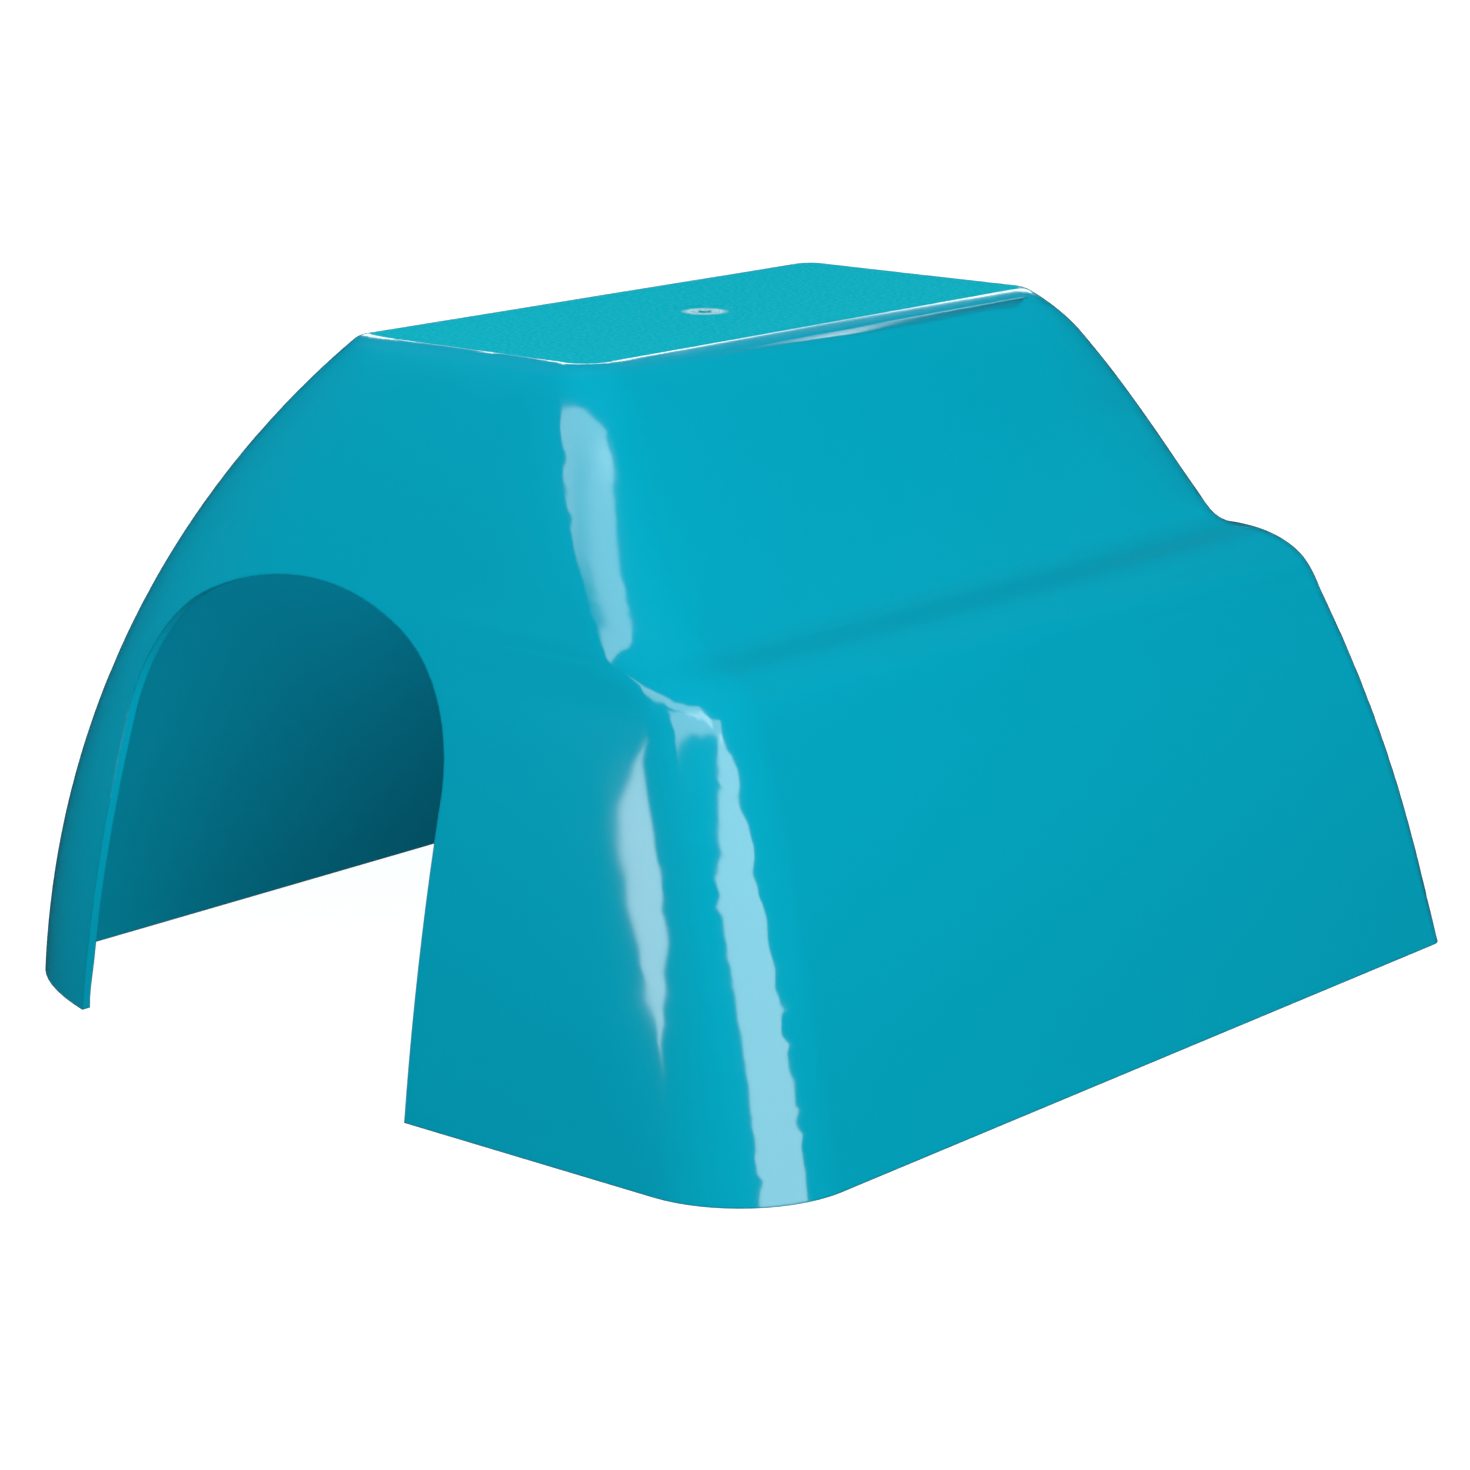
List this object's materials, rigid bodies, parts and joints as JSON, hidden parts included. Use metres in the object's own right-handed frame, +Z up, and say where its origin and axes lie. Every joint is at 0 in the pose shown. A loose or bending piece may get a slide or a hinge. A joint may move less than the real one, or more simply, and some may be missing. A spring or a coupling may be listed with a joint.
{
  "type": "guinea pig house",
  "caption": "Hollow one-piece plastic house for a small pet, open below, with leaning bowed walls, a flat roof panel and an off-centre arched entrance.",
  "frame": {"origin": "centre of the footprint on the floor", "axes": "+X to the side that carries the shoulder, -Y towards the entrance, +Z up"},
  "size_m": [0.25, 0.26, 0.156],
  "materials": {
    "turquoise_plastic": "glossy injection-moulded plastic, dyed turquoise right through, with a finely textured roof panel"
  },
  "bodies": {
    "root": {"house_shell": "turquoise_plastic"}
  },
  "joints": []
}
